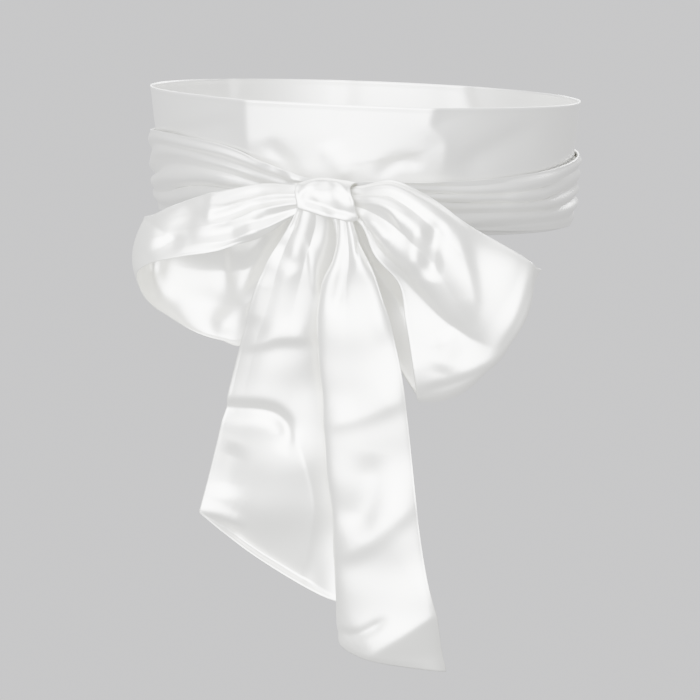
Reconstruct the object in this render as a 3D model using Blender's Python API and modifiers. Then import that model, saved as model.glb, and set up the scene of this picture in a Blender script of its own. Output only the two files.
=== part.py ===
"""A satin sash, worn: one turn lies smooth round the waist, the next is gathered over it and
tied in a bow at the front, with two slant-cut ends that hang down. The hollow is where the
waist goes. Tables and drawn sizes are in millimetres, and the solids are in metres.

X runs to the wearer's left, -Y is the front and Z is up. The origin is the middle of the waist,
half way up the sash. Each stretch of the ribbon that shows is an object of its own.
"""

from collections import namedtuple

import bpy
import bmesh
import numpy as np

MM = 0.001

# The ribbon
WALL = 1.5
SEAM_GAP = 0.4

# The waist, at the outer face of the smooth turn
WAIST_HALF_BREADTH = 143.0
WAIST_HALF_DEPTH = 104.0
BREADTH_FLARE = 4.5
DEPTH_FLARE = 3.0
BAND_HALF_HEIGHT = 42.0
TILT = 0.03

# The knot's sleeve, which the loops and both ends come out of
KNOT_CENTRE = (6.5, -139.5, -18.5)
KNOT_HALF_DEPTH = 12.6
KNOT_HALF_HEIGHT = 14.0
KNOT_SQUARENESS = 2.6

# How finely each stretch is divided: along it, and across it
BAND_GRID = (64, 3)
WRAP_GRID = (60, 18)
KNOT_GRID = (20, 14)
LOOP_GRID = (37, 17)
TAIL_GRID = (26, 13)

# A section of the ribbon: four points across it, from one edge to the other, and how deep
# its pleats are there.
Section = namedtuple("Section", "edge inner outer far_edge pleat")

# A soft ridge (or a trough, where the height is negative). It runs from one place to another;
# a place is a section number, counted from 0, and a share of the width from the first edge.
Fold = namedtuple("Fold", "section_0 across_0 section_1 across_1 half_width height")

# The gathered turn at an angle round the waist, from the front towards the wearer's left.
Turn = namedtuple("Turn", "angle low high lift pleat")

LOOP_LEFT = [
    Section((4, -140, -26), (4, -142, -21), (4, -142, -15), (4, -139, -10), 0.5),
    Section((-14, -141, -27), (-14, -144, -21), (-15, -143, -15), (-15, -137, -9), 0.9),
    Section((-34, -147, -39), (-37, -146, -28), (-39, -140, -18), (-41, -128, -10), 1.8),
    Section((-62, -152, -49), (-62, -149, -37), (-64, -141, -24), (-65, -127, -14), 1.4),
    Section((-89, -151, -54), (-89, -146, -41), (-90, -137, -28), (-90, -124, -20), 0.6),
    Section((-112, -143, -60), (-113, -138, -47), (-113, -129, -35), (-112, -117, -28), 0.2),
    Section((-123, -130, -72), (-126, -125, -59), (-126, -117, -47), (-122, -109, -36), 0.0),
    Section((-115, -120, -92), (-122, -112, -78), (-124, -104, -60), (-119, -97, -41), 0.0),
    Section((-95, -119, -104), (-103, -108, -97), (-107, -98, -74), (-105, -93, -44), 0.3),
    Section((-74, -120, -111), (-78, -105, -103), (-81, -98, -74), (-80, -100, -44), 0.8),
    Section((-54, -124, -114), (-54, -111, -98), (-54, -107, -68), (-54, -109, -38), 1.4),
    Section((-33, -133, -72), (-33, -126, -61), (-33, -119, -44), (-33, -117, -26), 1.1),
    Section((-13, -133, -32), (-13, -134, -26), (-13, -133, -19), (-13, -132, -12), 0.4),
    Section((4, -133, -26), (4, -134, -21), (4, -134, -16), (4, -134, -11), 0.4),
]
LOOP_LEFT_FOLDS = [
    Fold(3.2, 1.0, 3.9, 0.45, 7.0, -3.0),
    Fold(2.4, 0.2, 4.4, 0.55, 9.0, 3.0),
    Fold(5.6, 1.0, 5.4, 0.45, 5.0, 2.5),
    Fold(9.6, 0.5, 11.2, 0.6, 8.0, 3.0),
]

LOOP_RIGHT = [
    Section((8, -140, -26), (8, -142, -21), (8, -142, -15), (8, -139, -10), 0.5),
    Section((27, -142, -30), (27, -145, -23), (27, -144, -15), (27, -138, -8), 0.9),
    Section((38, -144, -50), (44, -151, -36), (49, -150, -17), (48, -140, -3), 1.8),
    Section((51, -143, -69), (62, -155, -52), (71, -153, -29), (71, -140, -13), 1.4),
    Section((57, -141, -93), (79, -155, -73), (94, -153, -49), (96, -139, -30), 0.7),
    Section((62, -138, -119), (93, -151, -99), (117, -149, -71), (122, -136, -44), 0.2),
    Section((63, -130, -142), (104, -139, -124), (128, -137, -89), (139, -128, -57), 0.0),
    Section((61, -121, -146), (103, -124, -127), (125, -123, -92), (140, -117, -61), 0.0),
    Section((50, -112, -127), (84, -110, -110), (110, -107, -80), (119, -104, -56), 0.3),
    Section((43, -111, -98), (65, -108, -82), (80, -106, -61), (86, -104, -43), 0.8),
    Section((35, -120, -64), (43, -118, -51), (49, -117, -36), (51, -115, -22), 1.6),
    Section((26, -133, -33), (26, -134, -27), (26, -133, -19), (26, -132, -12), 0.8),
    Section((8, -133, -26), (8, -134, -21), (8, -134, -16), (8, -134, -11), 0.4),
]
LOOP_RIGHT_FOLDS = [
    Fold(2.0, 0.2, 5.6, 0.34, 7.0, -6.0),
    Fold(2.6, 0.74, 4.4, 0.6, 8.0, -3.5),
    Fold(3.2, 0.86, 5.2, 0.74, 7.0, 2.5),
]

TAIL_LEFT = [
    Section((-9, -145, -26), (-5, -146, -26), (0, -146, -26), (4, -145, -26), 0.4),
    Section((-13, -145, -33), (-9, -146, -33), (-3, -146, -33), (2, -145, -33), 0.7),
    Section((-30, -145, -54), (-21, -148, -53), (-10, -148, -52), (0, -141, -52), 1.3),
    Section((-41, -142, -76), (-27, -146, -75), (-12, -147, -74), (1, -138, -74), 1.1),
    Section((-53, -139, -114), (-34, -144, -115), (-14, -143, -116), (3, -134, -116), 0.6),
    Section((-64, -138, -157), (-40, -141, -163), (-15, -140, -168), (7, -134, -172), 0.3),
    Section((-73, -138, -192), (-45, -140, -205), (-17, -140, -216), (11, -134, -226), 0.1),
    Section((-81, -139, -224), (-52, -140, -247), (-19, -140, -267), (14, -136, -281), 0.0),
]
TAIL_LEFT_FOLDS = [
    Fold(5.0, 0.0, 5.1, 0.34, 6.0, -5.0),
    Fold(5.2, 0.34, 5.6, 0.5, 6.0, -3.5),
    Fold(4.2, 0.0, 4.0, 0.55, 9.0, -2.0),
    Fold(5.4, 0.75, 6.6, 0.8, 9.0, 3.0),
]

TAIL_RIGHT = [
    Section((9, -145, -26), (14, -146, -26), (18, -146, -26), (23, -145, -26), 0.4),
    Section((12, -145, -34), (15, -147, -34), (20, -147, -34), (25, -146, -34), 0.6),
    Section((15, -144, -54), (11, -149, -54), (23, -153, -54), (34, -149, -54), 1.0),
    Section((15, -140, -74), (4, -147, -74), (25, -153, -74), (41, -148, -73), 0.9),
    Section((19, -138, -114), (3, -146, -114), (31, -153, -114), (53, -147, -114), 0.5),
    Section((26, -137, -166), (7, -145, -166), (38, -153, -166), (61, -147, -166), 0.2),
    Section((31, -136, -219), (12, -145, -224), (44, -153, -226), (67, -148, -224), 0.1),
    Section((34, -135, -264), (16, -144, -273), (50, -152, -278), (75, -147, -274), 0.0),
    Section((34, -134, -293), (19, -143, -308), (54, -149, -317), (82, -139, -322), 0.0),
]
TAIL_RIGHT_FOLDS = [
    Fold(2.2, 0.5, 4.6, 0.55, 8.0, -2.5),
    Fold(6.2, 1.0, 6.6, 0.1, 11.0, -2.0),
    Fold(7.6, 0.1, 7.5, 0.5, 5.0, -2.5),
]

# Angles run on past 360, because the turn starts left of the knot and ends right of it.
GATHERED_TURN = [
    Turn(361.0, -30, -6, 20.4, 0.6),
    Turn(354.0, -31, -5, 13.0, 0.9),
    Turn(344.0, -33, 1, 7.5, 1.4),
    Turn(328.0, -37, 11, 3.6, 2.2),
    Turn(300.0, -41, 14, 3.0, 2.4),
    Turn(270.0, -42, 11, 3.0, 2.4),
    Turn(225.0, -41, 13, 3.0, 2.4),
    Turn(180.0, -39, 15, 3.0, 2.4),
    Turn(135.0, -40, 10, 3.0, 2.4),
    Turn(95.0, -41, 6, 3.0, 2.2),
    Turn(62.0, -40, -1, 3.0, 1.9),
    Turn(38.0, -38, -5, 3.6, 1.6),
    Turn(24.0, -35, -6, 7.0, 1.2),
    Turn(13.5, -32, -6, 13.0, 0.9),
    Turn(6.5, -30, -6, 20.4, 0.6),
]
TURN_PLEATS = 4.5
LOOP_PLEATS = 3.5
TAIL_PLEATS = 2.5
KNOT_PLEATS = 2.5

# The knot's wrap goes from under its front, over the top and down behind.
KNOT_WRAP_START = -48.0
KNOT_WRAP_END = 232.0
KNOT_HALF_WIDTH_FRONT = 18.5
KNOT_HALF_WIDTH_BACK = 13.5
KNOT_SLANT = 5.0
KNOT_PLEAT_DEPTH = 0.6
KNOT_MOUTH_TAPER = 0.10


def clear_scene():
    for obj in list(bpy.data.objects):
        bpy.data.objects.remove(obj)


def satin(name, colour, roughness):
    material = bpy.data.materials.new(name)
    material.use_nodes = True
    shader = material.node_tree.nodes["Principled BSDF"]
    shader.inputs["Base Color"].default_value = (*colour, 1.0)
    shader.inputs["Roughness"].default_value = roughness
    shader.inputs["Metallic"].default_value = 0.0
    return material


def curve_through(values, places):
    """Points at any places along the smooth curve through a table's rows, which are 0, 1, 2 and so on."""
    values = np.asarray(values, float).reshape(len(values), -1)
    slopes = np.gradient(values, axis=0)
    row = np.clip(places.astype(int), 0, len(values) - 2)
    t = (places - row)[:, None]
    start, end = values[row], values[row + 1]
    leave, arrive = slopes[row], slopes[row + 1]
    return (
        (1 + 2 * t) * (1 - t) ** 2 * start
        + t * (1 - t) ** 2 * leave
        + t**2 * (3 - 2 * t) * end
        - t**2 * (1 - t) * arrive
    )


def across_sheet(points, across):
    """The cubic through four points of each section, at a share of the width."""
    nodes = (0.0, 1 / 3, 2 / 3, 1.0)
    total = np.zeros_like(points[0])
    for i, node in enumerate(nodes):
        weight = np.ones_like(across)
        for other in nodes[:i] + nodes[i + 1 :]:
            weight = weight * (across - other) / (node - other)
        total = total + weight[:, None] * points[i]
    return total


def even_places(sections, shares):
    """Section numbers that are evenly spread along the cloth, for shares of its length."""
    fine = np.linspace(0, len(sections) - 1, 20 * len(sections))
    middle = curve_through([np.add(s.inner, s.outer) / 2 for s in sections], fine)
    steps = np.linalg.norm(np.diff(middle, axis=0), axis=1)
    length = np.concatenate([[0], np.cumsum(steps)])
    return np.interp(shares * length[-1], length, fine)


def fold_height(folds, places, across, length_per_section, width):
    """How far the folds lift each point, measured in millimetres of cloth from each fold's line."""
    height = np.zeros_like(places)
    for fold in folds:
        start = np.array([fold.section_0 * length_per_section, fold.across_0 * width])
        end = np.array([fold.section_1 * length_per_section, fold.across_1 * width])
        here = np.stack([places * length_per_section, across * width], axis=1)
        run = end - start
        along = np.clip((here - start) @ run / (run @ run), 0, 1)
        away = np.linalg.norm(here - start - along[:, None] * run, axis=1)
        height += fold.height * np.exp(-((away / fold.half_width) ** 2))
    return height


def normals_of(surface, places, across):
    step = 1e-3
    along = surface(places + step, across) - surface(places - step, across)
    over = surface(places, across + step) - surface(places, across - step)
    normal = np.cross(along, over)
    return normal / np.linalg.norm(normal, axis=1)[:, None]


def sheet_surface(sections, side, pleats=0.0, folds=()):
    """A function from (share of the length, share of the width) to points of the pleated cloth."""

    def smooth(places, across):
        places = np.clip(places, 0, len(sections) - 1)
        rails = [curve_through([s[i] for s in sections], places) for i in range(4)]
        return across_sheet(rails, across)

    middle = smooth(np.linspace(0, len(sections) - 1, 200), np.full(200, 0.5))
    length = np.linalg.norm(np.diff(middle, axis=0), axis=1).sum()
    ends = smooth(np.full(2, len(sections) / 2), np.array([0.0, 1.0]))
    width = np.linalg.norm(ends[1] - ends[0])

    def surface(share, across):
        places = even_places(sections, share)
        inside = np.clip(places, 1e-3, len(sections) - 1 - 1e-3)
        depth = curve_through([s.pleat for s in sections], places)[:, 0]
        lift = depth * np.cos(2 * np.pi * pleats * across)
        lift += fold_height(folds, places, across, length / (len(sections) - 1), width)
        normal = normals_of(smooth, inside, across)
        return smooth(places, across) + side * lift[:, None] * normal

    return surface


def waist_point(angle, height, lift):
    """A point on the outer face of the smooth turn, moved out by lift."""
    share = height / BAND_HALF_HEIGHT
    breadth = WAIST_HALF_BREADTH + BREADTH_FLARE * share + lift
    depth = WAIST_HALF_DEPTH + DEPTH_FLARE * share + lift
    x = breadth * np.sin(angle)
    y = -depth * np.cos(angle)
    return np.stack([x, y, height - TILT * x], axis=1)


def band_surface(share, across):
    angle = 2 * np.pi * share
    height = BAND_HALF_HEIGHT * (2 * across - 1)
    return waist_point(angle, height, np.full_like(share, -WALL / 2))


def wrap_surface(share, across):
    """The gathered turn, with pleats that run along it and draw together at the knot."""
    place = share * (len(GATHERED_TURN) - 1)
    angle, low, high, lift, pleat = curve_through(GATHERED_TURN, place).T
    height = low + (high - low) * across
    wander = 0.04 * np.sin(3 * np.radians(angle))
    wave = pleat * np.cos(2 * np.pi * TURN_PLEATS * (across + wander))
    return waist_point(np.radians(angle), height, SEAM_GAP + WALL / 2 + lift + wave)


def knot_surface(share, across):
    """A sleeve of cloth wrapped round the roots, open at both ends and along its underside."""
    turn = np.radians(KNOT_WRAP_START + share * (KNOT_WRAP_END - KNOT_WRAP_START))
    to_front, to_top = np.cos(turn), np.sin(turn)
    power = 2 / KNOT_SQUARENESS
    sideways = 2 * across - 1
    taper = 1 - KNOT_MOUTH_TAPER * sideways**4
    pleat = KNOT_PLEAT_DEPTH * np.cos(2 * np.pi * KNOT_PLEATS * across + 0.8 * to_top)
    pleat = pleat * (0.5 + 0.5 * to_front)
    half_width = KNOT_HALF_WIDTH_BACK + (KNOT_HALF_WIDTH_FRONT - KNOT_HALF_WIDTH_BACK) * (
        0.5 + 0.5 * to_front
    )
    depth = KNOT_HALF_DEPTH * taper + pleat
    height = KNOT_HALF_HEIGHT * taper + pleat
    x = KNOT_CENTRE[0] + half_width * sideways - KNOT_SLANT * to_top * to_front
    y = KNOT_CENTRE[1] - depth * np.sign(to_front) * np.abs(to_front) ** power
    z = KNOT_CENTRE[2] + height * np.sign(to_top) * np.abs(to_top) ** power
    return np.stack([x, y, z], axis=1)


def add_cloth(name, surface, divisions, material, collection, closed=False):
    """A grid laid on the surface and thickened to the wall, half of it to each side."""
    mesh = bpy.data.meshes.new(name)
    grid = bmesh.new()
    bmesh.ops.create_grid(grid, x_segments=divisions[0], y_segments=divisions[1], size=0.5)
    flat = np.array([v.co[:2] for v in grid.verts]) + 0.5
    for vert, point in zip(grid.verts, surface(flat[:, 0], flat[:, 1])):
        vert.co = point * MM
    if closed:
        bmesh.ops.remove_doubles(grid, verts=grid.verts, dist=0.0001)
    grid.to_mesh(mesh)
    grid.free()
    mesh.shade_smooth()
    mesh.materials.append(material)
    obj = bpy.data.objects.new(name, mesh)
    collection.objects.link(obj)
    wall = obj.modifiers.new("wall", "SOLIDIFY")
    wall.thickness = WALL * MM
    wall.offset = 0
    wall.use_even_offset = True
    wall.thickness_clamp = 1.0
    return obj


def main():
    clear_scene()
    sash = bpy.data.collections.new("satin_sash")
    bpy.context.scene.collection.children.link(sash)
    smooth_satin = satin("satin_smooth", (0.93, 0.93, 0.92), 0.32)
    gathered_satin = satin("satin_gathered", (0.90, 0.90, 0.88), 0.38)
    bow_satin = satin("satin_bow", (0.95, 0.95, 0.94), 0.30)

    add_cloth("band", band_surface, BAND_GRID, smooth_satin, sash, closed=True)
    add_cloth("gathered_turn", wrap_surface, WRAP_GRID, gathered_satin, sash)
    add_cloth("knot", knot_surface, KNOT_GRID, bow_satin, sash)
    add_cloth(
        "loop_left",
        sheet_surface(LOOP_LEFT, 1, LOOP_PLEATS, LOOP_LEFT_FOLDS),
        LOOP_GRID, bow_satin, sash,
    )
    add_cloth(
        "loop_right",
        sheet_surface(LOOP_RIGHT, 1, LOOP_PLEATS, LOOP_RIGHT_FOLDS),
        LOOP_GRID, bow_satin, sash,
    )
    add_cloth(
        "tail_left",
        sheet_surface(TAIL_LEFT, 1, TAIL_PLEATS, TAIL_LEFT_FOLDS),
        TAIL_GRID, bow_satin, sash,
    )
    add_cloth(
        "tail_right",
        sheet_surface(TAIL_RIGHT, 1, TAIL_PLEATS, TAIL_RIGHT_FOLDS),
        TAIL_GRID, bow_satin, sash,
    )


main()
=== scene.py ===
"""The looks of the satin sash: each stretch of the ribbon as thin cloth with its folds, in a
pale studio. Tables are in millimetres in the part's own frame. Folds are placed as the camera
sees them, in units of the picture, which is 700 wide and high; one is 0.68 mm at the waist.
"""

import math
from collections import namedtuple

import bpy
import numpy as np
from mathutils import Matrix, Vector


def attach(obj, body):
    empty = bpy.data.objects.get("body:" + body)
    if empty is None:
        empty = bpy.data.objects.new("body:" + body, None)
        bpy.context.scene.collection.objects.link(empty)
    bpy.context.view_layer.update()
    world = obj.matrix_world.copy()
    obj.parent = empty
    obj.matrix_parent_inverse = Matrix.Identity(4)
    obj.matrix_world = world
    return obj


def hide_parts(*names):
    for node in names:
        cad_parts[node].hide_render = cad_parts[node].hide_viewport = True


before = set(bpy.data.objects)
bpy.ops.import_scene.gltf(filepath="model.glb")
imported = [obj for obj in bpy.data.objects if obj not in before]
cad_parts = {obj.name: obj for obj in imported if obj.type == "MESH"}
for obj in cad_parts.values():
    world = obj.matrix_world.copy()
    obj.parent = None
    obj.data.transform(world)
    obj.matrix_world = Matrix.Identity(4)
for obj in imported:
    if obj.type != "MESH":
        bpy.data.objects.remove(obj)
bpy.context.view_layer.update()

MM = 0.001

# The cloth's thickness, that of its woven edge, and how wide that edge is
CLOTH = 0.55
HEM = 0.9
HEM_WIDTH = 1.6

# How irregular the cloth is: the shift of its pleats, as a share of the width, and its slow
# waves. One as long as BUCKLE_REFERENCE is BUCKLE_HEIGHT high, and the others are in proportion.
UNEVENNESS = 0.035
BUCKLE_HEIGHT = 0.8
BUCKLE_REFERENCE = 100
BUCKLE_LENGTHS = (23, 31, 42, 55, 78)
BUCKLE_SEED = 7

# How much of a pleat's profile is a plain wave. The rest has sharp valleys.
ROUND_SHARE = 0.45

# How round a crisp fold's edge is, in units of the picture
CREASE_RADIUS = 2.0

# The share of a fold's line over which it fades in and out at its ends, and the share of a
# piece's length over which it fades at the edge of the layers that it is on
FOLD_FADE = 0.3
LAYER_FADE = 0.03

# How finely curves are followed: the places for each point of a fold's line, and for each section
FOLD_FINENESS = 6
SECTION_FINENESS = 20

# The camera, as the photo's. Its target is given to the right of and above the origin. PICTURE
# is how much it sees there in millimetres, and PICTURE_UNITS how many units that is.
AZIMUTH = 12.0
ELEVATION = 8.6
DISTANCE = 2200.0
PICTURE = 476.0
PICTURE_UNITS = 700
TARGET = (-9.5, -133.0)
SENSOR = 36

# The waist, at the outer face of the smooth turn
WAIST_HALF_BREADTH = 143.0
WAIST_HALF_DEPTH = 104.0
BREADTH_FLARE = 4.5
DEPTH_FLARE = 3.0
BAND_HALF_HEIGHT = 42.0
BAND_LIFT = -0.75
TILT = 0.03

# The gathered turn. Its pleats drift across its width as they go round, as a share of it, in
# slow and quick waves, of which there are so many in a full turn, and so many of unevenness.
# They are deeper in some places than in others: the depth's middle and its change, in so many
# waves round the waist and across.
WRAP_CLEARANCE = 1.15
SLOW_DRIFT = 0.05
SLOW_DRIFT_WAVES = 3
QUICK_DRIFT = 0.04
QUICK_DRIFT_WAVES = 5
UNEVEN_WAVES = 2.3
PLEAT_DEPTH = 0.8
PLEAT_DEPTH_CHANGE = 0.3
DEPTH_WAVES_ROUND = 3.2
DEPTH_WAVES_ACROSS = 1.4

# Its edges lie snug on the smooth turn, over this share of the width: how far in they are, and
# how much calmer their pleats are. Further out than SNUG_LIFT they come free, up to LOOSE_LIFT.
SNUG_MARGIN = 0.14
SNUG_TUCK = 1.7
SNUG_CALM = 0.75
SNUG_LIFT = 4.0
LOOSE_LIFT = 7.0

# The knot's sleeve. Angles are in degrees, from the front over the top.
KNOT_CENTRE = (6.5, -139.5, -18.5)
KNOT_HALF_DEPTH = 12.6
KNOT_HALF_HEIGHT = 14.0
KNOT_SQUARENESS = 2.6
KNOT_WRAP_START = -48.0
KNOT_LIP_SLANT = 40.0
KNOT_WRAP_END = 232.0
KNOT_HALF_WIDTH_FRONT = 18.5
KNOT_HALF_WIDTH_BACK = 13.5
KNOT_SLANT = 5.0
KNOT_MOUTH_TAPER = 0.10
KNOT_PLEAT = 0.4
KNOT_PLEAT_DRIFT = 0.8

# The satin's shine, the scales of its weave and streaks on a ribbon measured in metres, and how
# deep and how dark they are
METALLIC = 0.72
SHEEN = 0.04
STREAKS = (60, 900, 1)
STREAK_DETAIL = 3.0
STREAK_SHADE = 0.975
WEAVE = 400.0
WEAVE_DISTORTION = 0.6
WEAVE_SHARE = 0.25
BUMP_STRENGTH = 0.12
BUMP_DEPTH = 0.0002

Satin = namedtuple("Satin", "colour roughness")

SATINS = {
    "satin_smooth": Satin((0.92, 0.915, 0.88), 0.38),
    # The gathered turn is the same satin as the rest, with painted shade: its colour is darker to
    # stand for the shade in its pleats and on the side turned from the lamps.
    "satin_gathered": Satin((0.84, 0.835, 0.80), 0.35),
    "satin_bow": Satin((0.945, 0.94, 0.885), 0.36),
}

# The studio: a bowl that glows more towards the back, and soft lights that face a point in
# metres. A lamp's direction is as the camera's, and its distance and size are in metres.
BOWL_RADIUS = 6
BOWL_COLOUR = (0.98, 0.98, 1.0, 1)
BOWL_FRONT = -6.0
BOWL_BACK = 4.0
FRONT_GLOW = 0.32
BACK_GLOW = 1.12
LAMP_COLOUR = (0.965, 0.985, 1.0)
LAMP_TARGET = (0, 0, -0.1)
Lamp = namedtuple("Lamp", "name azimuth elevation distance width height power")

LAMPS = [
    Lamp("key", -5, 14, 2.0, 2.0, 2.1, 235),
    Lamp("top", -25, 68, 1.8, 1.6, 1.2, 58),
    Lamp("back", 180, 38, 2.2, 2.6, 1.2, 170),
]

# A section of the ribbon: four points across it, from one edge to the other, and how deep
# its pleats are there.
Section = namedtuple("Section", "edge inner outer far_edge pleat")

# A fold as the camera sees it: a line, the layers of cloth that it is on (a range of the
# length), its height, and its half-width on each side. Going right, "before" is above it. A
# crisp fold has a creased edge, and the others are rounded.
Fold = namedtuple("Fold", "line start end height before after crisp", defaults=(False,))

# A place on the gathered turn: its angle in degrees round the waist, its lower and upper edges,
# how far out it is from the smooth turn, and how deep its pleats are
Turn = namedtuple("Turn", "angle low high lift pleat")

LOOP_LEFT = [
    Section((4, -140, -26), (4, -142, -21), (4, -142, -15), (4, -139, -10), 0.5),
    Section((-14, -141, -27), (-14, -144, -21), (-15, -143, -15), (-15, -137, -9), 0.9),
    Section((-34, -147, -39), (-37, -146, -28), (-39, -141, -18), (-41, -130, -10), 1.5),
    Section((-62, -152, -49), (-62, -150, -37), (-64, -145, -24), (-65, -134, -14), 0.8),
    Section((-89, -151, -54), (-89, -147, -41), (-90, -141, -28), (-90, -131, -20), 0.2),
    Section((-112, -147, -60), (-113, -143, -47), (-113, -136, -35), (-112, -125, -28), 0.1),
    Section((-123, -133, -72), (-127, -129, -59), (-127, -122, -47), (-126, -113, -33), 0.0),
    Section((-115, -120, -92), (-122, -112, -78), (-124, -104, -60), (-119, -97, -41), 0.0),
    Section((-95, -110, -107), (-103, -105, -95), (-107, -102, -72), (-105, -106, -44), 0.1),
    Section((-74, -109, -114), (-78, -104, -101), (-81, -101, -74), (-80, -108, -44), 0.4),
    Section((-54, -117, -114), (-54, -110, -98), (-54, -107, -68), (-54, -111, -38), 1.0),
    Section((-33, -133, -72), (-33, -126, -61), (-33, -119, -44), (-33, -117, -26), 0.8),
    Section((-13, -133, -32), (-13, -134, -26), (-13, -133, -19), (-13, -132, -12), 0.4),
    Section((4, -133, -26), (4, -134, -21), (4, -134, -16), (4, -134, -11), 0.4),
]

LOOP_RIGHT = [
    Section((8, -140, -26), (8, -142, -21), (8, -142, -15), (8, -139, -10), 0.5),
    Section((27, -142, -30), (27, -145, -23), (27, -144, -15), (27, -138, -8), 0.9),
    Section((38, -145, -50), (44, -151, -36), (49, -150, -17), (48, -140, -3), 1.4),
    Section((51, -147, -69), (62, -154, -52), (71, -153, -29), (71, -141, -13), 0.8),
    Section((57, -148, -93), (79, -153, -73), (94, -152, -49), (96, -141, -30), 0.2),
    Section((63, -147, -125), (98, -150, -106), (122, -149, -76), (130, -141, -49), 0.1),
    Section((64, -141, -143), (107, -146, -126), (134, -146, -90), (139, -137, -56), 0.0),
    Section((61, -121, -146), (103, -124, -127), (125, -123, -92), (140, -117, -61), 0.0),
    Section((46, -112, -127), (83, -110, -110), (110, -107, -80), (119, -104, -56), 0.3),
    Section((33, -113, -98), (61, -109, -82), (80, -106, -61), (86, -104, -43), 0.8),
    Section((23, -122, -67), (38, -119, -52), (49, -117, -36), (51, -115, -22), 1.6),
    Section((20, -133, -37), (24, -134, -28), (26, -133, -19), (26, -132, -12), 0.8),
    Section((8, -133, -26), (8, -134, -21), (8, -134, -16), (8, -134, -11), 0.4),
]

TAIL_LEFT = [
    Section((-9, -146, -12), (-5, -147, -12), (0, -147, -12), (4, -145, -14), 0.4),
    Section((-12, -147, -21), (-8, -148, -21), (0, -147, -21), (7, -144, -22), 0.6),
    Section((-18, -146, -34), (-11, -148, -34), (0, -146, -33), (12, -140, -33), 0.8),
    Section((-30, -145, -54), (-19, -148, -53), (-4, -146, -52), (13, -137, -52), 0.9),
    Section((-41, -142, -76), (-25, -146, -75), (-8, -145, -74), (11, -135, -74), 0.4),
    Section((-53, -139, -114), (-34, -144, -115), (-14, -143, -116), (5, -134, -116), 0.2),
    Section((-64, -138, -157), (-40, -141, -163), (-15, -140, -168), (7, -134, -172), 0.1),
    Section((-73, -138, -192), (-45, -140, -205), (-17, -140, -216), (11, -134, -226), 0.1),
    Section((-81, -139, -224), (-52, -140, -247), (-19, -140, -267), (14, -136, -281), 0.0),
]

TAIL_RIGHT = [
    Section((9, -146, -22), (14, -147, -22), (18, -148, -22), (22, -148, -23), 0.4),
    Section((12, -145, -34), (15, -148, -34), (20, -149, -34), (25, -148, -34), 0.6),
    Section((15, -144, -54), (11, -149, -54), (23, -153, -54), (34, -149, -54), 1.0),
    Section((15, -140, -74), (4, -149, -74), (24, -152, -74), (41, -149, -73), 0.6),
    Section((19, -138, -114), (3, -149, -114), (30, -152, -114), (53, -150, -114), 0.2),
    Section((26, -137, -166), (7, -149, -166), (36, -152, -166), (61, -150, -166), 0.2),
    Section((31, -136, -219), (12, -149, -224), (42, -152, -226), (67, -150, -224), 0.1),
    Section((34, -135, -264), (16, -148, -273), (48, -152, -278), (75, -149, -274), 0.0),
    Section((34, -134, -293), (19, -146, -308), (54, -149, -317), (82, -139, -322), 0.0),
]

GATHERED_TURN = [
    Turn(361.0, -30, -6, 20.4, 0.6),
    Turn(354.0, -31, -5, 13.0, 0.9),
    Turn(344.0, -33, 1, 7.5, 1.2),
    Turn(328.0, -37, 11, 3.6, 2.0),
    Turn(300.0, -41, 14, 3.2, 2.2),
    Turn(270.0, -42, 11, 3.2, 2.1),
    Turn(225.0, -41, 13, 3.0, 2.0),
    Turn(180.0, -39, 15, 3.0, 2.4),
    Turn(135.0, -40, 10, 3.0, 2.4),
    Turn(95.0, -41, 6, 3.0, 1.8),
    Turn(62.0, -40, -1, 3.2, 1.7),
    Turn(38.0, -38, -5, 3.6, 1.4),
    Turn(24.0, -35, -6, 7.0, 1.0),
    Turn(13.5, -32, -6, 13.0, 0.9),
    Turn(6.5, -30, -6, 20.4, 0.6),
]

RIBBONS = {
    "loop_left": LOOP_LEFT,
    "loop_right": LOOP_RIGHT,
    "tail_left": TAIL_LEFT,
    "tail_right": TAIL_RIGHT,
}

# How many pleats there are across the ribbon
PLEATS = {
    "gathered_turn": 4.5,
    "knot": 2.5,
    "loop_left": 3.5,
    "loop_right": 3.5,
    "tail_left": 2.5,
    "tail_right": 2.5,
}

# How finely each piece is divided, along the ribbon and across it
DIVISIONS = {
    "band": (420, 56),
    "gathered_turn": (420, 60),
    "knot": (90, 60),
    "loop_left": (240, 90),
    "loop_right": (240, 100),
    "tail_left": (200, 90),
    "tail_right": (220, 80),
}

# The stretch of the one ribbon that each piece is cut as, in metres. The area is what shows of
# it, less the cloth that is tucked into gathers and under the next turn.
Cut = namedtuple("Cut", "slot length area held rests_on")

CUTS = {
    "band": Cut("satin_smooth", 0.79, 0.072, "stretched", ()),
    "gathered_turn": Cut("satin_gathered", 0.80, 0.060, "gathered", ("band_cloth",)),
    "knot": Cut("satin_bow", 0.09, 0.003, "gathered", ("gathered_turn_cloth",)),
    "loop_left": Cut("satin_bow", 0.30, 0.021, "folded", ("knot_cloth",)),
    "loop_right": Cut("satin_bow", 0.32, 0.027, "folded", ("knot_cloth",)),
    "tail_left": Cut("satin_bow", 0.24, 0.018, "hung", ("knot_cloth",)),
    "tail_right": Cut("satin_bow", 0.28, 0.024, "hung", ("knot_cloth",)),
}

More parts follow.
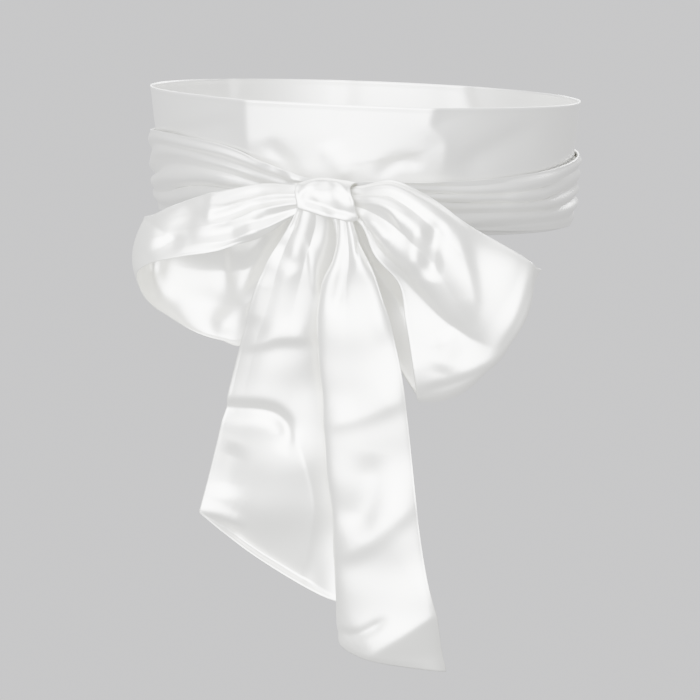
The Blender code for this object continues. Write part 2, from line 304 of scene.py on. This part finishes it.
# The folds of each piece, from the photo
FOLDS = {
    "band": [
        Fold([(248, 40), (248, 90), (249, 130), (254, 178)], 0.75, 1.0, 4.0, 30, 18, True),
        Fold(
            [(440, 50), (437, 96), (430, 125), (445, 146), (436, 188)],
            0.0, 0.25, 2.8, 16, 28, True,
        ),
        Fold([(150, 140), (200, 130), (246, 118)], 0.75, 1.0, -1.4, 9, 12),
        Fold([(448, 176), (490, 150), (545, 124)], 0.0, 0.25, -2.0, 11, 16),
        Fold([(262, 138), (280, 156), (300, 178)], 0.75, 1.0, -1.2, 8, 8),
        Fold([(326, 140), (334, 160), (350, 184)], 0.0, 0.1, 1.4, 10, 8),
        Fold([(326, 140), (334, 160), (350, 184)], 0.9, 1.0, 1.4, 10, 8),
        Fold([(372, 180), (398, 162), (428, 164)], 0.0, 0.25, -1.2, 8, 8),
        Fold([(220, 60), (228, 90), (224, 130)], 0.55, 0.8, 1.4, 8, 18),
        Fold([(330, 50), (345, 80), (340, 130)], 0.4, 0.6, -1.6, 16, 9),
        Fold([(470, 60), (462, 90), (480, 130)], 0.2, 0.45, 1.5, 9, 20),
    ],
    "gathered_turn": [
        Fold([(255, 166), (279, 166), (291, 176), (299, 194)], 0.0, 0.2, -1.6, 4, 6),
        Fold([(540, 172), (553, 160), (572, 156)], 0.7, 0.85, 1.4, 5, 5),
        Fold([(500, 205), (525, 196), (560, 200)], 0.7, 0.95, -1.6, 7, 9),
        Fold([(160, 186), (200, 176), (246, 184)], 0.05, 0.3, -1.6, 6, 9),
        Fold([(120, 160), (190, 158), (226, 162), (284, 190)], 0.02, 0.36, 1.2, 4, 7, True),
        Fold([(120, 180), (190, 177), (226, 180), (284, 196)], 0.02, 0.36, -1.2, 5, 4, True),
        Fold([(110, 190), (200, 190), (270, 198)], 0.02, 0.36, -1.1, 3, 4, True),
        Fold([(400, 186), (471, 177), (520, 183), (590, 178)], 0.66, 0.98, -1.1, 5, 4, True),
        Fold([(400, 202), (487, 194), (524, 187), (590, 172)], 0.66, 0.98, -1.1, 4, 5, True),
        Fold([(240, 120), (300, 148), (350, 194)], 0.35, 0.7, 1.8, 6, 12),
        Fold([(400, 196), (460, 166), (550, 132)], 0.3, 0.65, 1.8, 12, 6),
        Fold([(220, 176), (270, 160), (330, 150)], 0.45, 0.75, 1.6, 7, 7),
    ],
    "knot": [
        Fold(
            [(296, 204), (304, 190), (320, 181), (340, 186), (356, 204)],
            0.0, 0.5, -1.5, 4, 3,
        ),
        Fold([(298, 196), (316, 204), (334, 210), (360, 216)], 0.0, 0.5, 1.8, 9, 3, True),
        Fold([(292, 204), (318, 212), (338, 219), (362, 222)], 0.0, 0.5, -2.0, 5, 8),
        Fold([(365, 180), (357, 196), (349, 214)], 0.0, 0.6, -1.6, 4, 6),
    ],
    "loop_left": [
        Fold([(216, 190), (212, 204), (208, 226)], 0.0, 0.45, -1.4, 7, 6),
        Fold(
            [(272, 196), (243, 208), (230, 222), (231, 240), (240, 256)],
            0.0, 0.45, 1.8, 9, 15,
        ),
        Fold([(122, 208), (145, 219), (158, 228), (186, 244)], 0.0, 0.55, 2.6, 18, 12, True),
        Fold([(184, 232), (170, 242), (150, 252), (134, 268)], 0.0, 0.55, 1.8, 10, 7),
        Fold([(262, 206), (252, 222), (256, 244)], 0.0, 0.45, -1.6, 10, 9),
        Fold([(196, 198), (188, 222), (184, 250)], 0.0, 0.45, 1.4, 9, 12),
        Fold([(222, 236), (223, 265), (229, 300)], 0.5, 1.0, -1.2, 6, 10),
        Fold([(268, 232), (254, 262), (240, 300)], 0.5, 1.0, -1.6, 6, 6),
        Fold([(152, 256), (156, 280), (164, 312)], 0.5, 1.0, -1.6, 9, 8),
        Fold([(262, 296), (236, 310), (214, 340)], 0.5, 1.0, 2.2, 10, 12),
    ],
    "loop_right": [
        Fold(
            [(372, 250), (392, 273), (418, 299), (440, 320), (468, 339), (500, 352)],
            0.0, 0.5, -5.0, 11, 40, True,
        ),
        Fold([(437, 214), (434, 245), (431, 284)], 0.0, 0.5, -2.8, 9, 10),
        Fold([(420, 218), (415, 245), (412, 278)], 0.0, 0.5, 1.6, 8, 9),
        Fold([(450, 222), (463, 258), (470, 290), (474, 330)], 0.0, 0.5, 2.2, 9, 20),
        Fold(
            [(352, 204), (372, 202), (386, 206), (396, 215), (408, 236)],
            0.0, 0.45, 1.8, 13, 4,
        ),
        Fold([(362, 216), (376, 226), (390, 246)], 0.0, 0.45, 1.2, 7, 7),
        Fold(
            [(548, 250), (536, 280), (522, 318), (504, 348), (484, 368)],
            0.0, 1.0, -1.4, 6, 6,
        ),
        Fold([(512, 358), (488, 372), (456, 385), (408, 398)], 0.0, 1.0, -1.8, 8, 6),
        Fold([(440, 330), (446, 350), (440, 376)], 0.0, 0.5, 1.4, 14, 12),
    ],
    "tail_left": [
        Fold(
            [(198, 402), (226, 408), (262, 411), (280, 418), (288, 432), (282, 456)],
            0.0, 1.0, -3.4, 8, 9,
        ),
        Fold([(232, 348), (262, 341), (282, 336), (322, 336)], 0.0, 1.0, 2.2, 15, 8),
        Fold([(176, 540), (236, 570), (286, 584), (346, 600)], 0.0, 1.0, -13.0, 56, 20),
        Fold(
            [(280, 400), (300, 450), (313, 512), (300, 580), (306, 640)],
            0.0, 1.0, 3.0, 12, 22, True,
        ),
        Fold([(276, 236), (287, 258), (297, 274)], 0.0, 1.0, -1.2, 8, 9),
        Fold([(306, 234), (311, 256), (315, 300)], 0.0, 1.0, 1.4, 8, 4),
        Fold([(300, 204), (291, 232)], 0.0, 1.0, -1.2, 3, 3),
        Fold([(190, 508), (215, 514), (246, 530)], 0.0, 1.0, 1.4, 8, 6),
        Fold([(262, 268), (256, 300), (250, 330)], 0.0, 1.0, 1.6, 14, 14),
        Fold([(236, 440), (226, 470), (222, 500)], 0.0, 1.0, -1.4, 14, 12),
    ],
    "tail_right": [
        Fold([(345, 240), (341, 275), (333, 320)], 0.0, 1.0, -1.4, 7, 7),
        Fold([(358, 210), (359, 236), (357, 262)], 0.0, 1.0, -1.6, 3, 3),
        Fold([(310, 424), (358, 416), (415, 392)], 0.0, 1.0, 1.6, 18, 11),
        Fold([(318, 560), (358, 546), (386, 526), (425, 492)], 0.0, 1.0, 1.9, 20, 12),
        Fold([(330, 628), (352, 634), (368, 630), (392, 616)], 0.0, 1.0, -1.4, 5, 6),
        Fold([(362, 240), (376, 285), (386, 350)], 0.0, 1.0, 1.6, 12, 10),
        Fold(
            [(474, 582), (446, 604), (412, 628), (372, 654), (340, 680)],
            0.0, 1.0, 6.0, 30, 44, True,
        ),
        Fold([(372, 450), (366, 500), (350, 540)], 0.0, 1.0, -1.8, 16, 18),
    ],
}


def curve_through(values, places):
    """Points at any places along the smooth curve through a table's rows, which are 0, 1, 2..."""
    values = np.asarray(values, float).reshape(len(values), -1)
    slopes = np.gradient(values, axis=0)
    row = np.clip(places.astype(int), 0, len(values) - 2)
    t = (places - row)[:, None]
    return (
        (1 + 2 * t) * (1 - t) ** 2 * values[row]
        + t * (1 - t) ** 2 * slopes[row]
        + t**2 * (3 - 2 * t) * values[row + 1]
        - t**2 * (1 - t) * slopes[row + 1]
    )


def direction_from(azimuth, elevation):
    """The direction from the sash to something at an azimuth and elevation in degrees."""
    azimuth, elevation = math.radians(azimuth), math.radians(elevation)
    return np.array([
        math.sin(azimuth) * math.cos(elevation),
        -math.cos(azimuth) * math.cos(elevation),
        math.sin(elevation),
    ])


def camera_axes():
    """The camera's right, up and backward directions."""
    back = direction_from(AZIMUTH, ELEVATION)
    azimuth = math.radians(AZIMUTH)
    right = np.array([math.cos(azimuth), math.sin(azimuth), 0.0])
    return right, np.cross(back, right), back


def seen(points):
    """Where the camera sees points in millimetres, in units of the picture, down from its top."""
    right, up, back = camera_axes()
    points = points.reshape(-1, 3)
    size = DISTANCE / (DISTANCE - points @ back) * PICTURE_UNITS / PICTURE
    across = (points @ right - TARGET[0]) * size
    down = -(points @ up - TARGET[1]) * size
    return np.stack([across, down], axis=1) + PICTURE_UNITS / 2


def smooth_step(t):
    """From 0 to 1 without a corner, as t goes from 0 to 1."""
    t = np.clip(t, 0, 1)
    return t * t * (3 - 2 * t)


def relief(folds, places, share):
    """How far the folds lift each point of a piece, in millimetres."""
    lift = np.zeros(len(places))
    for fold in folds:
        line = np.array(fold.line, float)
        line = curve_through(line, np.linspace(0, len(line) - 1, FOLD_FINENESS * len(line)))
        steps = np.diff(line, axis=0)
        lengths = np.linalg.norm(steps, axis=1)
        travelled = np.concatenate([[0], np.cumsum(lengths)])
        nearest = np.full(len(places), np.inf)
        side = np.zeros(len(places))
        along = np.zeros(len(places))
        for start, step, length, run in zip(line, steps, lengths, travelled):
            away = places - start
            t = np.clip(away @ step / length**2, 0, 1)
            distance = np.linalg.norm(away - t[:, None] * step, axis=1)
            nearer = distance < nearest
            turn = step[0] * away[:, 1] - step[1] * away[:, 0]
            nearest = np.where(nearer, distance, nearest)
            side = np.where(nearer, turn, side)
            along = np.where(nearer, (run + t * length) / travelled[-1], along)
        width = np.where(side > 0, fold.after, fold.before)
        if fold.crisp:
            rounded = np.hypot(nearest, CREASE_RADIUS) - CREASE_RADIUS
            profile = np.exp(-rounded / width)
        else:
            profile = np.exp(-((nearest / width) ** 2))
        ends = smooth_step(np.minimum(along, 1 - along) / FOLD_FADE)
        after_start = smooth_step((share - fold.start) / LAYER_FADE + 0.5)
        before_end = smooth_step((fold.end - share) / LAYER_FADE + 0.5)
        lift += fold.height * ends * profile * after_start * before_end
    return lift


def across_sheet(points, across):
    """The cubic through four points of each section, at a share of the width."""
    nodes = (0.0, 1 / 3, 2 / 3, 1.0)
    total = np.zeros_like(points[0])
    for i, node in enumerate(nodes):
        weight = np.ones_like(across)
        for other in nodes[:i] + nodes[i + 1 :]:
            weight = weight * (across - other) / (node - other)
        total = total + weight[:, None] * points[i]
    return total


def grid_shares(divisions):
    """For each point of a piece's grid, its share of the length and of the width."""
    along, over = divisions
    share = np.repeat(np.linspace(0, 1, along + 1), over + 1)
    across = np.tile(np.linspace(0, 1, over + 1), along + 1)
    return share, across


def grid_normals(points, divisions):
    """The cloth's direction outward at each point of a piece's grid."""
    grid = points.reshape(divisions[0] + 1, divisions[1] + 1, 3)
    normal = np.cross(np.gradient(grid, axis=0), np.gradient(grid, axis=1))
    normal /= np.linalg.norm(normal, axis=2)[:, :, None] + 1e-12
    return normal.reshape(-1, 3)


def gathers(turns):
    """The profile of gathered cloth, from -1 to 1: rounded ridges and narrow valleys."""
    wave = np.cos(2 * np.pi * turns)
    arches = 2 * np.abs(np.cos(np.pi * turns)) - 1
    return ROUND_SHARE * wave + (1 - ROUND_SHARE) * arches


def uneven(turns):
    """A small shift that makes pleats wider and narrower."""
    return UNEVENNESS * np.sin(2 * np.pi * turns)


def buckles(points):
    """The slight, slow waves of loose satin, in millimetres. Longer ones are higher."""
    random = np.random.default_rng(BUCKLE_SEED)
    total = np.zeros(len(points))
    for length in BUCKLE_LENGTHS:
        direction = random.normal(size=3)
        direction /= np.linalg.norm(direction)
        start = random.uniform(0, 2 * np.pi)
        height = BUCKLE_HEIGHT * length / BUCKLE_REFERENCE
        total += height * np.sin(2 * np.pi * points @ direction / length + start)
    return total


def ribbon_points(name):
    """A loop or an end: the pleated cloth through its table's sections, before its folds."""
    sections = RIBBONS[name]
    share, across = grid_shares(DIVISIONS[name])
    fine = np.linspace(0, len(sections) - 1, SECTION_FINENESS * len(sections))
    middle = curve_through([np.add(s.inner, s.outer) / 2 for s in sections], fine)
    length = np.concatenate([[0], np.cumsum(np.linalg.norm(np.diff(middle, axis=0), axis=1))])
    places = np.interp(share * length[-1], length, fine)
    rails = [curve_through([s[i] for s in sections], places) for i in range(4)]
    smooth = across_sheet(rails, across)
    depth = curve_through([s.pleat for s in sections], places)[:, 0]
    wave = depth * gathers(PLEATS[name] * (across + uneven(2 * share + across)))
    wave = wave + buckles(smooth)
    return smooth + wave[:, None] * grid_normals(smooth, DIVISIONS[name])


def waist_point(angle, height, lift):
    """A point on the outer face of the smooth turn, moved out by lift."""
    share = height / BAND_HALF_HEIGHT
    breadth = WAIST_HALF_BREADTH + BREADTH_FLARE * share + lift
    depth = WAIST_HALF_DEPTH + DEPTH_FLARE * share + lift
    x = breadth * np.sin(angle)
    y = -depth * np.cos(angle)
    return np.stack([x, y, height - TILT * x], axis=1)


def band_points(name):
    """The smooth turn, all the way round."""
    share, across = grid_shares(DIVISIONS[name])
    height = BAND_HALF_HEIGHT * (2 * across - 1)
    return waist_point(2 * np.pi * share, height, np.full_like(share, BAND_LIFT))


def wrap_points(name):
    """The gathered turn, with pleats that run along it and draw together at the knot."""
    share, across = grid_shares(DIVISIONS[name])
    place = share * (len(GATHERED_TURN) - 1)
    degrees, low, high, lift, pleat = curve_through(GATHERED_TURN, place).T
    angle = np.radians(degrees)
    around = degrees / 360
    height = low + (high - low) * across
    drift = SLOW_DRIFT * np.sin(SLOW_DRIFT_WAVES * angle)
    drift = drift + uneven(across + UNEVEN_WAVES * around)
    drift = drift + QUICK_DRIFT * np.sin(QUICK_DRIFT_WAVES * (angle + across))
    places = DEPTH_WAVES_ROUND * around + DEPTH_WAVES_ACROSS * across
    depth = PLEAT_DEPTH + PLEAT_DEPTH_CHANGE * np.sin(2 * np.pi * places)
    wave = pleat * depth * gathers(PLEATS[name] * (across + drift))
    snug = 1 - smooth_step(np.minimum(across, 1 - across) / SNUG_MARGIN)
    snug = snug * smooth_step((LOOSE_LIFT - lift) / (LOOSE_LIFT - SNUG_LIFT))
    wave = wave * (1 - SNUG_CALM * snug)
    return waist_point(angle, height, WRAP_CLEARANCE + lift + wave - SNUG_TUCK * snug)


def knot_points(name):
    """A sleeve of cloth wrapped round the roots, open at both ends and along its underside."""
    share, across = grid_shares(DIVISIONS[name])
    sideways = 2 * across - 1
    start = KNOT_WRAP_START + KNOT_LIP_SLANT * (1 - sideways) / 2
    turn = np.radians(start + share * (KNOT_WRAP_END - start))
    to_front, to_top = np.cos(turn), np.sin(turn)
    front_share = 0.5 + 0.5 * to_front
    power = 2 / KNOT_SQUARENESS
    taper = 1 - KNOT_MOUTH_TAPER * sideways**4
    pleat = np.cos(2 * np.pi * PLEATS[name] * across + KNOT_PLEAT_DRIFT * to_top)
    pleat = KNOT_PLEAT * pleat * front_share
    half_width = KNOT_HALF_WIDTH_BACK
    half_width = half_width + (KNOT_HALF_WIDTH_FRONT - half_width) * front_share
    depth = KNOT_HALF_DEPTH * taper + pleat
    height = KNOT_HALF_HEIGHT * taper + pleat
    x = KNOT_CENTRE[0] + half_width * sideways - KNOT_SLANT * to_top * to_front
    y = KNOT_CENTRE[1] - depth * np.sign(to_front) * np.abs(to_front) ** power
    z = KNOT_CENTRE[2] + height * np.sign(to_top) * np.abs(to_top) ** power
    return np.stack([x, y, z], axis=1)


def add_satin(name):
    """White satin: broad soft highlights, a fine weave along the ribbon and faint streaks."""
    colour, roughness = SATINS[name]
    material = bpy.data.materials.new(name)
    material.use_nodes = True
    nodes, link = material.node_tree.nodes, material.node_tree.links.new
    shader = nodes["Principled BSDF"]
    shader.inputs["Roughness"].default_value = roughness
    shader.inputs["Metallic"].default_value = METALLIC
    shader.inputs["Sheen Weight"].default_value = SHEEN
    uv = nodes.new("ShaderNodeUVMap")
    uv.uv_map = "UVMap"
    streaks = nodes.new("ShaderNodeMapping")
    streaks.inputs["Scale"].default_value = STREAKS
    noise = nodes.new("ShaderNodeTexNoise")
    noise.inputs["Scale"].default_value = 1.0
    noise.inputs["Detail"].default_value = STREAK_DETAIL
    weave = nodes.new("ShaderNodeTexWave")
    weave.inputs["Scale"].default_value = WEAVE
    weave.bands_direction = "Y"
    weave.inputs["Distortion"].default_value = WEAVE_DISTORTION
    height = nodes.new("ShaderNodeMath")
    height.operation = "MULTIPLY_ADD"
    height.inputs[1].default_value = WEAVE_SHARE
    bump = nodes.new("ShaderNodeBump")
    bump.inputs["Strength"].default_value = BUMP_STRENGTH
    bump.inputs["Distance"].default_value = BUMP_DEPTH
    tint = nodes.new("ShaderNodeMix")
    tint.data_type = "RGBA"
    tint.inputs[6].default_value = (*(c * STREAK_SHADE for c in colour), 1)
    tint.inputs[7].default_value = (*colour, 1)
    link(uv.outputs["UV"], streaks.inputs["Vector"])
    link(streaks.outputs["Vector"], noise.inputs["Vector"])
    link(uv.outputs["UV"], weave.inputs["Vector"])
    link(weave.outputs["Fac"], height.inputs[0])
    link(noise.outputs["Fac"], height.inputs[2])
    link(height.outputs["Value"], bump.inputs["Height"])
    link(bump.outputs["Normal"], shader.inputs["Normal"])
    link(noise.outputs["Fac"], tint.inputs[0])
    link(tint.outputs[2], shader.inputs["Base Color"])
    return material


def add_cloth(name, points, material):
    """The piece's mesh: folds lift its points, and a thin wall gives it two faces."""
    divisions, cut = DIVISIONS[name], CUTS[name]
    share, across = grid_shares(divisions)
    lift = relief(FOLDS[name], seen(points), share)
    points = points + lift[:, None] * grid_normals(points, divisions)
    along, over = divisions[0] + 1, divisions[1] + 1
    corner = (np.arange(divisions[0])[:, None] * over + np.arange(divisions[1])).ravel()
    corners = np.stack([corner, corner + over, corner + over + 1, corner + 1], axis=1)
    grid = points.reshape(along, over, 3)
    steps = np.linalg.norm(np.diff(grid[:, over // 2], axis=0), axis=1)
    run = np.concatenate([[0], np.cumsum(steps)])
    widths = np.linalg.norm(np.diff(grid, axis=1), axis=2).sum(axis=1)
    to_edge = np.minimum(across, 1 - across) * np.repeat(widths, over)
    if cut.held == "hung":
        to_edge = np.minimum(to_edge, (1 - share) * run[-1])
    faces = corners
    if name == "band":
        # The smooth turn closes: its last row of points is its first.
        last_row = divisions[0] * over
        faces = np.where(corners >= last_row, corners - last_row, corners)
        points = points[:last_row]
    mesh = bpy.data.meshes.new(name + "_cloth")
    mesh.from_pydata((points * MM).tolist(), [], faces.tolist())
    uv = mesh.uv_layers.new(name="UVMap")
    index = corners.ravel()
    on_ribbon = np.stack([np.repeat(run, over)[index], across[index] * widths.max()], axis=1)
    uv.data.foreach_set("uv", (on_ribbon * MM).ravel())
    mesh.shade_smooth()
    mesh.materials.append(material)
    piece = bpy.data.objects.new(name + "_cloth", mesh)
    bpy.context.scene.collection.objects.link(piece)
    hem = np.flatnonzero(to_edge[: len(points)] < HEM_WIDTH)
    piece.vertex_groups.new(name="hem").add(hem.tolist(), 1.0, "REPLACE")
    wall = piece.modifiers.new("wall", "SOLIDIFY")
    wall.thickness = HEM * MM
    wall.vertex_group = "hem"
    wall.thickness_vertex_group = CLOTH / HEM
    wall.offset = 0
    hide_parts(name)
    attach(piece, "root")


def add_lamp(lamp):
    """A soft light that faces the bow."""
    direction = Vector(direction_from(lamp.azimuth, lamp.elevation))
    light = bpy.data.lights.new(lamp.name, "AREA")
    light.shape = "RECTANGLE"
    light.size = lamp.width
    light.size_y = lamp.height
    light.energy = lamp.power
    light.color = LAMP_COLOUR
    placed = bpy.data.objects.new(lamp.name, light)
    placed.location = Vector(LAMP_TARGET) + direction * lamp.distance
    placed.rotation_euler = direction.to_track_quat("Z", "Y").to_euler()
    bpy.context.scene.collection.objects.link(placed)


def add_bowl():
    """A plain pale bowl all round."""
    bpy.ops.mesh.primitive_uv_sphere_add(segments=64, ring_count=32, radius=BOWL_RADIUS)
    bowl = bpy.context.object
    bowl.name = "studio_bowl"
    bpy.ops.object.shade_smooth()
    material = bpy.data.materials.new("studio_wall")
    material.use_nodes = True
    nodes, link = material.node_tree.nodes, material.node_tree.links.new
    nodes.remove(nodes["Principled BSDF"])
    glow = nodes.new("ShaderNodeEmission")
    glow.inputs["Color"].default_value = BOWL_COLOUR
    place = nodes.new("ShaderNodeTexCoord")
    split = nodes.new("ShaderNodeSeparateXYZ")
    ramp = nodes.new("ShaderNodeMapRange")
    ramp.inputs["From Min"].default_value = BOWL_FRONT
    ramp.inputs["From Max"].default_value = BOWL_BACK
    ramp.inputs["To Min"].default_value = FRONT_GLOW
    ramp.inputs["To Max"].default_value = BACK_GLOW
    link(place.outputs["Object"], split.inputs[0])
    link(split.outputs["Y"], ramp.inputs["Value"])
    link(ramp.outputs["Result"], glow.inputs["Strength"])
    link(glow.outputs[0], nodes["Material Output"].inputs["Surface"])
    material.cycles.emission_sampling = "NONE"
    bowl.data.materials.append(material)


def add_camera():
    """The camera, at the photo's viewing angle."""
    right, up, back = (Vector(axis) for axis in camera_axes())
    target = (right * TARGET[0] + up * TARGET[1]) * MM
    turned = Matrix((right, up, back)).transposed().to_4x4()
    camera = bpy.data.objects.new("camera", bpy.data.cameras.new("camera"))
    camera.matrix_world = Matrix.Translation(target + back * DISTANCE * MM) @ turned
    camera.data.sensor_width = SENSOR
    camera.data.lens = SENSOR * DISTANCE / PICTURE
    bpy.context.scene.collection.objects.link(camera)
    bpy.context.scene.camera = camera


satins = {name: add_satin(name) for name in SATINS}
shapes = {"band": band_points, "gathered_turn": wrap_points, "knot": knot_points}
for name, cut in CUTS.items():
    make_points = shapes.get(name, ribbon_points)
    add_cloth(name, make_points(name), satins[cut.slot])

add_bowl()
for lamp in LAMPS:
    add_lamp(lamp)
add_camera()
